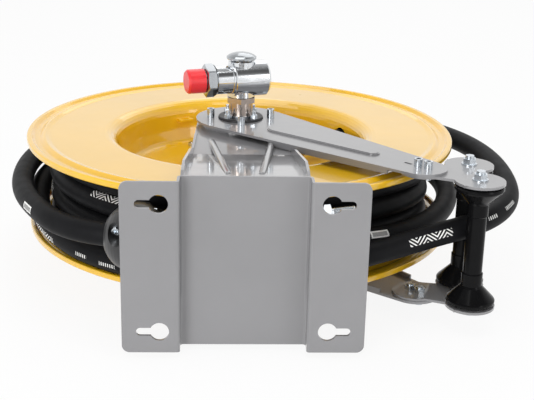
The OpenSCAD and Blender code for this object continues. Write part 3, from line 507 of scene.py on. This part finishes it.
def tube(name, points, radius, sides, marks=()):
    """A closed tube.

    Its map "along" is metres round it and along it. "print" is each mark's own metres.
    """
    frames = path_frames(points)
    rings = []
    for point, (side, up) in zip(points, frames):
        angles = [2 * math.pi * k / sides for k in range(sides)]
        rings.append([point + radius * (math.cos(a) * side + math.sin(a) * up) for a in angles])
    shape = Shape().rings(rings)
    piece = mesh_object(name, shape.verts, shape.faces)
    run = [0.0]
    for a, b in zip(points, points[1:]):
        run.append(run[-1] + (b - a).length)
    along = piece.data.uv_layers.new(name="along")
    printed = piece.data.uv_layers.new(name="print")
    girth = 2 * math.pi * radius
    for face in piece.data.polygons:
        corners = [(piece.data.loops[i].vertex_index, i) for i in face.loop_indices]
        turns = {v % sides for v, _ in corners}
        wraps = 0 in turns and sides - 1 in turns
        places = []
        for v, loop in corners:
            turn = v % sides
            if wraps and turn == 0:
                turn = sides
            places.append((loop, turn / sides * girth, run[v // sides]))
        middle = (sum(p[1] for p in places) / len(places), sum(p[2] for p in places) / len(places))
        near = [m for m in marks if abs(middle[1] - m[0] - m[1] / 2) < m[1] / 2 + PRINT_ROOM]
        for loop, across, distance in places:
            along.data[loop].uv = (across, distance)
            printed.data[loop].uv = FAR
            for start, length, angle, kind in near:
                off = across - math.radians(angle % 360) * radius
                off_mid = middle[0] - math.radians(angle % 360) * radius
                off -= girth * round(off_mid / girth)
                if abs(off_mid - girth * round(off_mid / girth)) < girth / 4:
                    printed.data[loop].uv = (distance - start + kind, off)
    return piece


# ------------------------------------------------------------------ free hose
# The route's points are those of the part's source, in millimetres.
INNER_TURN = [
    (81, 76, 3), (127, 95.5, -3), (169, 121.5, -8), (206, 154, -10.5), (236, 193.5, -11),
    (258.5, 238, -11), (271.5, 284, -11), (275.5, 332, -11), (270, 379.5, -10.5), (255.5, 425, -10),
    (233, 467, -10), (204, 504, -10), (169, 535.5, -10), (129.5, 560.5, -10), (87, 578.5, -10),
    (41.5, 589, -10), (-5, 591.5, -10), (-51, 586.5, -10), (-95, 573.5, -10), (-136, 553, -10),
    (-173.5, 526, -10), (-205.5, 493, -11.5), (-231, 455, -12.5), (-249.5, 413, -13),
    (-260.5, 368.5, -14), (-264, 323, -16), (-259.5, 277, -21), (-246.5, 232.5, -27), (-226, 191, -32),
    (-199, 153, -35), (-167, 121, -35), (-130.5, 95.5, -35), (-90.5, 75, -34.5), (-46, 58.5, -33.5),
    (-1, 49.5, -30.5), (45, 51.5, -25.5), (90, 58, -18.5), (135, 67, -10), (180, 79, -1.5),
    (222, 93.5, 6),
]
OUTER_TURN = [
    (331.5, 249, 28), (331, 297, 29), (325, 344, 29), (313, 390, 28.5), (295, 435, 27), (271, 477, 25),
    (240, 514, 23), (205, 545, 21), (164, 570, 20), (120, 588, 19), (74, 600, 18), (26, 606.5, 17),
    (-22, 606.5, 16), (-69, 599, 15), (-115, 584, 14), (-157, 561, 13), (-194, 531, 12),
    (-226, 495, 11), (-252, 454, 10.5), (-270, 409, 10), (-279.5, 362, 9.5), (-281, 314, 9.5),
    (-277, 267, 9.5), (-267, 220, 10), (-250.5, 176, 11.5),
]
TAIL = [(-41, 46.8, 14.5), (-3, 45.4, 22.5), (33, 46, 31), (58.5, 46.4, 36.6), (84, 44.8, 40)]
BEND_R = 116.0
ROLLER_BEND = (213.5, 211)
ROLLER_BEND_ARC = (-71, -4)
ROLLER_BEND_Z = (10.5, 24)
BALL = Vector((-115, 59.5, 13))
BALL_ANGLE = -14
BALL_HEADING = math.radians(BALL_ANGLE)
BALL_DIR = Vector((math.cos(BALL_HEADING), math.sin(BALL_HEADING), 0.01)).normalized()
BALL_STEP = 19  # between the points of the straight run through the ball stop
BALL_BEND_ARC = (BALL_ANGLE - 142, BALL_ANGLE - 90)
BALL_BEND_Z = 12.5
BEND_STEPS = 3
# Marks printed on the hose: start and length along it in metres, angle round it, kind
FREE_MARKS = [
    (0.066, 0.026, 141, PATCH), (0.56, 0.055, 170, HATCH), (0.66, 0.024, 170, TICKS),
    (1.280, 0.055, -166, HATCH), (1.382, 0.026, 178, TICKS), (1.420, 0.016, -176, TICKS),
    (1.780, 0.055, 158, HATCH), (1.882, 0.024, 151, TICKS), (1.914, 0.014, 146, TICKS),
    (2.30, 0.055, 170, HATCH), (2.40, 0.024, 168, TICKS), (3.188, 0.026, 168, PATCH),
]
WOUND_MARKS = [
    (0.40, 0.055, 165, HATCH), (1.25, 0.055, 150, HATCH), (2.300, 0.055, 126, HATCH),
    (3.60, 0.055, 165, HATCH), (4.50, 0.055, 170, HATCH),
]


def bend(centre, arc, heights):
    """Points of a tight bend about its own centre, over an arc in degrees."""
    points = []
    for i in range(BEND_STEPS + 1):
        part = i / BEND_STEPS
        a = math.radians(arc[0] + (arc[1] - arc[0]) * part)
        x = centre[0] + BEND_R * math.cos(a)
        y = centre[1] + BEND_R * math.sin(a)
        points.append((x, y, heights[0] + (heights[1] - heights[0]) * part))
    return points


def hose_steer():
    """All the points that steer the free hose, from the drum to the nipple."""
    ball_run = [BALL + BALL_DIR * BALL_STEP * i for i in range(-2, 3)]
    first = ball_run[0]
    centre_x = first.x - BEND_R * math.sin(BALL_HEADING)
    centre_y = first.y + BEND_R * math.cos(BALL_HEADING)
    ball_bend = bend((centre_x, centre_y), BALL_BEND_ARC, (BALL_BEND_Z, first.z))[:-1]
    roller_bend = bend(ROLLER_BEND, ROLLER_BEND_ARC, ROLLER_BEND_Z)
    points = INNER_TURN + roller_bend + OUTER_TURN + ball_bend
    return [Vector(p) for p in points] + ball_run + [Vector(p) for p in TAIL]


def smooth_curve(points, steps):
    """The B-spline that the points steer, from the first point to the last."""
    first = 2 * points[0] - points[1]
    last = 2 * points[-1] - points[-2]
    p = [first] + points + [last]
    line = []
    for i in range(len(points) - 1):
        a, b, c, d = p[i : i + 4]
        for k in range(steps):
            t = k / steps
            near = (1 - t) ** 3 * a + (3 * t**3 - 6 * t * t + 4) * b
            line.append((near + (-3 * t**3 + 3 * t * t + 3 * t + 1) * c + t**3 * d) / 6)
    line.append(points[-1])
    return line


# The nipple: a collar, its hexagon and a 3/4 inch pipe thread, with the bore through it
TIP = Vector(TAIL[-1])
TIP_DIR = (TIP - Vector(TAIL[-2])).normalized()
NIPPLE_BORE_R = 8.0
COLLAR_R = 9.9
COLLAR_START = 0.2  # clear of the hose's end
NIPPLE_HEX = 30  # across flats
NIPPLE_HEX_Z = (3.0, 12.0)
NECK_R = 12.0
NIPPLE_THREAD_Z = (14.0, 37.0)
LATHE_STEPS = 72
nipple_outline = (
    [(NIPPLE_BORE_R, COLLAR_START), (COLLAR_R, COLLAR_START), (COLLAR_R, NIPPLE_HEX_Z[0])]
    + hex_outline(NIPPLE_HEX, *NIPPLE_HEX_Z)
    + [(NECK_R, NIPPLE_HEX_Z[1]), (NECK_R, NIPPLE_THREAD_Z[0])]
    + thread_outline(THREAD_D / 2, THREAD_DEPTH, THREAD_PITCH, *NIPPLE_THREAD_Z)
    + [(NIPPLE_BORE_R, NIPPLE_THREAD_Z[1])]
)
nipple_shape = Shape().lathe(nipple_outline, axis_at(TIP, TIP_DIR), LATHE_STEPS)
nipple = nipple_shape.piece("hose_nipple_threaded")
# The nipple takes the plating whose colour is darkened as painted shade.
finish_piece(nipple, shaded_plated_steel, "plated_steel", "frame", "hose_nipple")

HOSE_R = HOSE_D / 2 * MM
HOSE_SIDES = 40
STEPS_PER_POINT = 6
free_line = [p * MM for p in smooth_curve(hose_steer(), STEPS_PER_POINT)]
hose_free = tube("hose_free_run", free_line, HOSE_R, HOSE_SIDES, FREE_MARKS)
finish_piece(hose_free, hose_rubber, "hose_rubber", "frame", "hose_free")

# ------------------------------------------------------------------ wound hose
STEP_START = 296  # degrees, where each lane begins to step to the next
STEP_ARC = 84
OUTER_CUT = 90  # degrees by which the outer layer is short of its full turns
RINGS_PER_TURN = 96
INNER_RINGS = 60
INNER_SIDES = 24


def ease(t):
    """A smooth step from 0 to 1."""
    t = min(1.0, max(0.0, t))
    return t * t * (3 - 2 * t)


def lane_at(angle):
    """The lane at an angle in degrees. It rises by one during each turn's STEP_ARC."""
    turn = math.floor(angle / 360)
    return turn + ease((angle - 360 * turn) / STEP_ARC)


def layer_line(radius, total, rings, hand):
    """Level turns over a total angle, that step by one lane within the same arc.

    hand is 1 downwards and -1 upwards.
    """
    count = round(total * rings / 360)
    line = []
    for i in range(count + 1):
        turned = STEP_ARC + total * i / count
        a = math.radians(STEP_START + turned)
        z = hand * ((LANES - 1) * LAY / 2 - (lane_at(turned) - 1) * LAY)
        line.append(Vector((radius * math.cos(a), REACH + radius * math.sin(a), DRUM_OFF + z)))
    return line


outer = layer_line(LAYER_R, LANES * 360 - OUTER_CUT, RINGS_PER_TURN, 1)
outer_line = [p * MM for p in outer]
winding = tube("hose_winding_layer", outer_line, HOSE_R, HOSE_SIDES, WOUND_MARKS)
finish_piece(winding, hose_rubber, "hose_rubber", "drum", "hose_winding")

# Two layers under it fill the plain ring of the part.
for depth, hand in ((1, -1), (2, 1)):
    inner = layer_line(LAYER_R - depth * LAYER_STEP, LANES * 360 - STEP_ARC, INNER_RINGS, hand)
    layer = tube("hose_inner_layer_%d" % depth, [p * MM for p in inner], HOSE_R, INNER_SIDES)
    finish_piece(layer, hose_rubber, "hose_rubber", "drum", "hose_core")

# The lead from the outlet's crimp to the window in the dish
OUTLET_ANGLE = math.radians(28)
OUTLET_DIR = Vector((math.cos(OUTLET_ANGLE), math.sin(OUTLET_ANGLE), 0))
OUTLET_H = 25  # the outlet over the drum's mid-plane
OUTLET_AT = HUB + Vector((0, 0, DRUM_OFF + OUTLET_H))
LEAD_RUN = (78.5, 161.9)  # from the crimp to the window, out from the shaft
LEAD_STEPS = 12
lead_line = []
for i in range(LEAD_STEPS + 1):
    out = LEAD_RUN[0] + (LEAD_RUN[1] - LEAD_RUN[0]) * i / LEAD_STEPS
    lead_line.append((OUTLET_AT + OUTLET_DIR * out) * MM)
lead = tube("hose_lead_run", lead_line, HOSE_R, HOSE_SIDES)
finish_piece(lead, hose_rubber, "hose_rubber", "drum", "hose_lead")

# ------------------------------------------------------------------ small metal
# The swivel's adapter: a collar, a hexagon and the thread that the cap covers
NECK_END = 36.01  # just clear of the swivel's neck
NUT = 38  # across flats
NUT_Z = (37.5, 49.5)
NUT_TURN = math.radians(12)
INLET_COLLAR_R = (19.0, 20.0)
NUT_SEAT_R = 18.6
INLET_BORE_R = 9.5
THREAD_END = 67.0
adapter_outline = (
    [(INLET_BORE_R, NECK_END), (INLET_COLLAR_R[0], NECK_END), (INLET_COLLAR_R[1], NUT_Z[0])]
    + [(NUT_SEAT_R, NUT_Z[0])]
    + hex_outline(NUT, *NUT_Z, NUT_TURN)
    + thread_outline(THREAD_D / 2, THREAD_DEPTH, THREAD_PITCH, NUT_Z[1], THREAD_END)
    + [(INLET_BORE_R, THREAD_END)]
)
adapter_shape = Shape().lathe(adapter_outline, axis_at(INLET_AT, INLET_AXIS), LATHE_STEPS)
adapter = adapter_shape.piece("inlet_adapter_threaded")
# The adapter takes the plating whose colour is darkened as painted shade.
finish_piece(adapter, shaded_plated_steel, "plated_steel", "swivel", "inlet_adapter")

# Thread on the bolts' bare ends, a little proud of the part's plain rods
M6_R = 3.0
M6_PITCH = 1.0
M6_DEPTH = 0.34
M6_PROUD = 0.22
M6_SUNK = 0.5  # how far the thread's sleeve reaches into the rod
M6_STEPS = 20
BEARING_BOLT_R = 23  # the bearings' bolt circle
BEARING_NUT_TOP = 11.1  # from the hub's face, just clear of the nuts
BEARING_BARE = (HUB_H + BEARING_NUT_TOP, 4.7)  # height and length of a bare end
ARM_BOLT_R = 39  # the bolt circle of arm and bracket
ARM_BOLT_END = 5.8  # under the two sheets, just short of the bolts' ends
ARM_BARE = (ARM_Z - 2 * SHEET_T - ARM_BOLT_END, 1.7)


def bare_ends():
    """Place, height and length of each bare end."""
    found = []
    for circle, first, bare in ((BEARING_BOLT_R, 45, BEARING_BARE), (ARM_BOLT_R, 0, ARM_BARE)):
        for k in range(4):
            a = math.radians(first + 90 * k)
            found.append((Vector((circle * math.cos(a), circle * math.sin(a), 0)), *bare))
    return found


threads = Shape()
for place, low, length in bare_ends():
    top = low + length
    outline = thread_outline(M6_R + M6_PROUD, M6_DEPTH, M6_PITCH, low, top)
    outline = [(M6_R - M6_SUNK, low)] + outline + [(M6_R - M6_SUNK, top)]
    for side in (1, -1):
        at = Matrix.Translation(HUB + place) @ Matrix.Diagonal((1, side, side, 1))
        threads.lathe(outline, at, M6_STEPS)
finish_piece(threads.piece("bolt_threads", sharp=60), zinc_steel, "zinc_steel", "frame")

# The pawl's torsion spring, wound finer than the part's
COIL_ROOM = 6.5  # between the pawl and the sleeve on its pin
PAWL_Z = -50.3
PAWL_OUT = 86  # from the shaft towards the wall
PAWL = Vector((0, REACH - PAWL_OUT, PAWL_Z - COIL_ROOM))
COIL_R = 5.2
WIRE_R = 0.5
WIRE_SIDES = 12
COIL_START = 1.0  # height of the first turn's centre line
COIL_RISE = 4.6  # over all the turns
COIL_TURNS = 4
COIL_STEPS = 32  # to a turn
LEG = Vector((9, 0, 0))
coil = []
for i in range(COIL_TURNS * COIL_STEPS + 1):
    a = math.radians(-90) + 2 * math.pi * i / COIL_STEPS
    rise = COIL_START + COIL_RISE * i / (COIL_TURNS * COIL_STEPS)
    coil.append(PAWL + Vector((COIL_R * math.cos(a), COIL_R * math.sin(a), rise)))
coil = [coil[0] - LEG] + coil + [coil[-1] + LEG]
spring = tube("pawl_torsion_spring", [p * MM for p in coil], WIRE_R * MM, WIRE_SIDES)
finish_piece(spring, spring_steel, "spring_steel", "frame", "pawl_spring")

# ------------------------------------------------------------------ camera
PHOTO_W = 534  # pixels
FOCAL_PX = 1115.48
SENSOR = 36.0
CAMERA_AT = (-0.0287, -1.0884, 0.4553)
PITCH = 0.3332  # radians, downwards
YAW = 0.0464
ROLL = 0.0232


def camera_basis():
    """The camera's axes as a matrix: right, up and backwards."""
    flat = math.cos(PITCH)
    ahead = Vector((math.sin(YAW) * flat, math.cos(YAW) * flat, -math.sin(PITCH)))
    level = Vector((math.cos(YAW), -math.sin(YAW), 0))
    above = level.cross(ahead)
    right = math.cos(ROLL) * level + math.sin(ROLL) * above
    up = right.cross(ahead)
    return Matrix((right, up, -ahead)).transposed()


lens = bpy.data.cameras.new("camera")
lens.sensor_width = SENSOR
lens.lens = FOCAL_PX / PHOTO_W * SENSOR
lens.clip_start = 0.05
lens.clip_end = 30
camera = bpy.data.objects.new("camera", lens)
camera.location = CAMERA_AT
camera.rotation_euler = camera_basis().to_euler()
bpy.context.scene.collection.objects.link(camera)
bpy.context.scene.camera = camera

# ------------------------------------------------------------------ studio
scene = bpy.context.scene
scene.view_settings.view_transform = "Standard"

WHITE = (1.0, 1.0, 1.0)
# Greys by direction: each stop is a part of the direction, from -1 to 1, and a grey
# The soft light that falls on the reel, then what mirrors see in front of it and behind it
SOFT_BY_Y = [(-1.0, 0.68), (-0.2, 0.6), (0.3, 0.45), (1.0, 0.4)]
ROOM_BY_Z = [
    (-1.0, 0.3), (-0.4, 0.08), (-0.12, 0.12), (0.0, 0.9),
    (0.4, 1.0), (0.6, 0.15), (0.8, 0.1), (1.0, 0.3),
]
WALL_BY_Z = [(-1.0, 0.5), (-0.1, 1.0), (0.4, 1.0), (0.7, 0.75), (1.0, 0.5)]
BEHIND_BY_Y = [(-0.1, 0.0), (0.3, 1.0)]  # 0 in front of the reel and 1 behind it


def greater(tree, a, b):
    made = tree.nodes.new("ShaderNodeMath")
    made.operation = "MAXIMUM"
    tree.links.new(a, made.inputs[0])
    tree.links.new(b, made.inputs[1])
    return made.outputs["Value"]


def ray_kinds(tree):
    """1 for camera and glass rays, and 1 for mirror rays."""
    path = tree.nodes.new("ShaderNodeLightPath")
    seen = greater(tree, path.outputs["Is Camera Ray"], path.outputs["Is Transmission Ray"])
    return seen, path.outputs["Is Glossy Ray"]


def grey_ramp(tree, value, stops):
    """A ramp of greys over a part of the direction."""
    span = tree.nodes.new("ShaderNodeMapRange")
    span.inputs["From Min"].default_value = -1
    tree.links.new(value, span.inputs["Value"])
    greys = [((place + 1) / 2, (grey, grey, grey)) for place, grey in stops]
    return colour_ramp(tree, span.outputs["Result"], greys)


def studio_world():
    """White to the camera. Mirrors see white behind and a banded room in front."""
    world = bpy.data.worlds.new("studio")
    world.use_nodes = True
    tree = world.node_tree
    back = tree.nodes["Background"]
    coords = tree.nodes.new("ShaderNodeTexCoord")
    parts = tree.nodes.new("ShaderNodeSeparateXYZ")
    tree.links.new(coords.outputs["Generated"], parts.inputs["Vector"])
    soft = grey_ramp(tree, parts.outputs["Y"], SOFT_BY_Y)
    room = grey_ramp(tree, parts.outputs["Z"], ROOM_BY_Z)
    wall = grey_ramp(tree, parts.outputs["Z"], WALL_BY_Z)
    behind = grey_ramp(tree, parts.outputs["Y"], BEHIND_BY_Y)
    seen, mirrored = ray_kinds(tree)
    light = mix_colours(tree, mirrored, soft, mix_colours(tree, behind, room, wall))
    tree.links.new(mix_colours(tree, seen, light, WHITE), back.inputs["Color"])
    back.inputs["Strength"].default_value = 1.0
    scene.world = world


FLOOR_HALF = 6.0  # metres
FLOOR_GAP = 0.0003  # under the part's lowest point
FLOOR_GREY = 0.97
WHITE_SHARE = 0.9  # of the floor that camera, glass and mirror rays see


def floor():
    """A plain floor just under the part: part white background, part lit floor with the shadow."""
    low = CAD_BOX[0][2] - FLOOR_GAP
    corners = [(-1, -1), (1, -1), (1, 1), (-1, 1)]
    verts = [(FLOOR_HALF * x, FLOOR_HALF * y, low) for x, y in corners]
    made = mesh_object("studio_floor", verts, [(0, 1, 2, 3)], smooth=False)
    look = bpy.data.materials.new("studio_floor")
    look.use_nodes = True
    tree = look.node_tree
    lit = tree.nodes["Principled BSDF"]
    lit.inputs["Base Color"].default_value = (FLOOR_GREY, FLOOR_GREY, FLOOR_GREY, 1)
    lit.inputs["Roughness"].default_value = 0.9
    white = tree.nodes.new("ShaderNodeEmission")
    white.inputs["Strength"].default_value = 1.0
    share = tree.nodes.new("ShaderNodeMath")
    share.operation = "MULTIPLY"
    share.inputs[1].default_value = WHITE_SHARE
    tree.links.new(greater(tree, *ray_kinds(tree)), share.inputs[0])
    blend = tree.nodes.new("ShaderNodeMixShader")
    tree.links.new(share.outputs["Value"], blend.inputs[0])
    tree.links.new(lit.outputs["BSDF"], blend.inputs[1])
    tree.links.new(white.outputs["Emission"], blend.inputs[2])
    tree.links.new(blend.outputs["Shader"], tree.nodes["Material Output"].inputs["Surface"])
    made.data.materials.append(look)


# Softboxes: name, place and size in metres, power in watts
SOFTBOXES = [
    ("overhead", (-0.2, 0.1, 1.9), (1.6, 1.2), 12),
    ("front_left", (-1.1, -1.9, 0.6), (0.9, 1.3), 24),
    ("front_right", (1.6, -1.2, 0.6), (0.5, 1.2), 5),
    ("back", (0.6, 2.2, 2.0), (1.8, 1.8), 10),
]
LIT_AT = Vector((0, 0.3, 0))  # where every softbox points


def softbox(name, at, size, power):
    lamp = bpy.data.lights.new(name, "AREA")
    lamp.shape = "RECTANGLE"
    lamp.size, lamp.size_y = size
    lamp.energy = power
    holder = bpy.data.objects.new(name, lamp)
    holder.location = at
    holder.rotation_euler = (LIT_AT - Vector(at)).to_track_quat("-Z", "Y").to_euler()
    scene.collection.objects.link(holder)


studio_world()
floor()
for name, at, size, power in SOFTBOXES:
    softbox(name, at, size, power)
